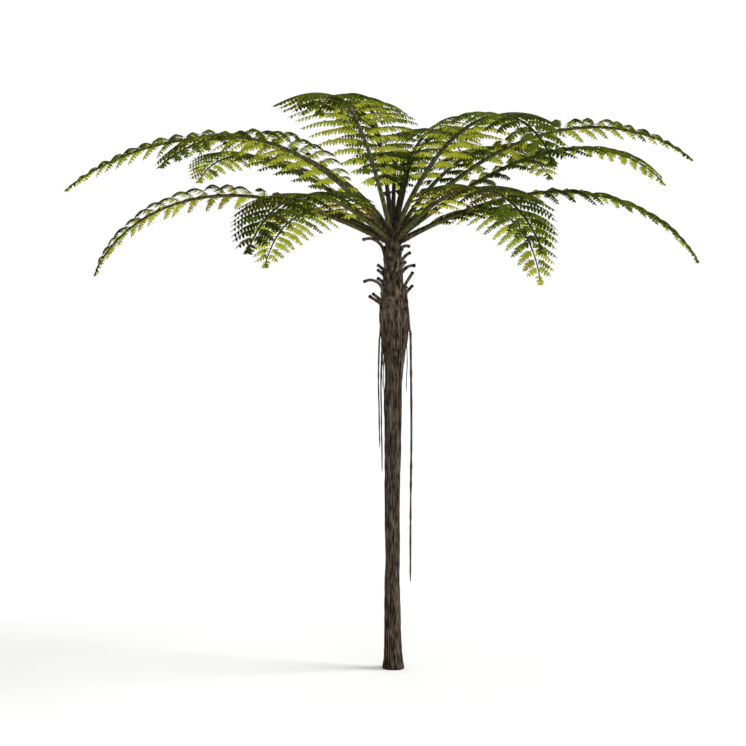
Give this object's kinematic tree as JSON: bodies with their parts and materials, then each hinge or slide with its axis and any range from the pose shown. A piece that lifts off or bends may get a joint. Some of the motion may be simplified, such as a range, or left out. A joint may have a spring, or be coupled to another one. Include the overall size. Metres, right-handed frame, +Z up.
{
  "type": "tree fern",
  "caption": "Rooted tree fern: a slender fibrous trunk with old stem stubs and hanging roots, topped by a wide round crown of arching feathery fronds and rolled young leaves.",
  "frame": {"origin": "centre of the flat cut under the trunk, at ground level", "axes": "+Z up along the trunk, -Y towards the viewer of the picture, +X to the picture's right"},
  "size_m": [6.3076, 5.7538, 6.2605],
  "materials": {
    "trunk_bark": "rough fibrous, grey-brown",
    "frond_leaf": "soft satin green",
    "young_stem": "dull, dark scaly brown"
  },
  "bodies": {
    "root": {"crozier_left": "young_stem", "crozier_right": "young_stem", "frond_back_high_inner": "frond_leaf", "frond_back_high_outer": "frond_leaf", "frond_back_left_curve_inner": "frond_leaf", "frond_back_left_curve_outer": "frond_leaf", "frond_back_left_low_inner": "frond_leaf", "frond_back_left_low_outer": "frond_leaf", "frond_back_middle_inner": "frond_leaf", "frond_back_middle_outer": "frond_leaf", "frond_back_right_curve_inner": "frond_leaf", "frond_back_right_curve_outer": "frond_leaf", "frond_back_right_high_inner": "frond_leaf", "frond_back_right_high_outer": "frond_leaf", "frond_back_right_low_inner": "frond_leaf", "frond_back_right_low_outer": "frond_leaf", "frond_front_high_inner": "frond_leaf", "frond_front_high_outer": "frond_leaf", "frond_front_left_inner": "frond_leaf", "frond_front_left_outer": "frond_leaf", "frond_front_right_high_inner": "frond_leaf", "frond_front_right_high_outer": "frond_leaf", "frond_front_right_inner": "frond_leaf", "frond_front_right_outer": "frond_leaf", "frond_left_front_high_inner": "frond_leaf", "frond_left_front_high_outer": "frond_leaf", "frond_left_high_inner": "frond_leaf", "frond_left_high_outer": "frond_leaf", "frond_left_low_inner": "frond_leaf", "frond_left_low_outer": "frond_leaf", "frond_right_back_inner": "frond_leaf", "frond_right_back_outer": "frond_leaf", "frond_right_high_inner": "frond_leaf", "frond_right_high_outer": "frond_leaf", "frond_right_low_inner": "frond_leaf", "frond_right_low_outer": "frond_leaf", "root_1": "trunk_bark", "root_2": "trunk_bark", "root_3": "trunk_bark", "root_4": "trunk_bark", "root_5": "trunk_bark", "trunk": "trunk_bark"}
  },
  "joints": []
}
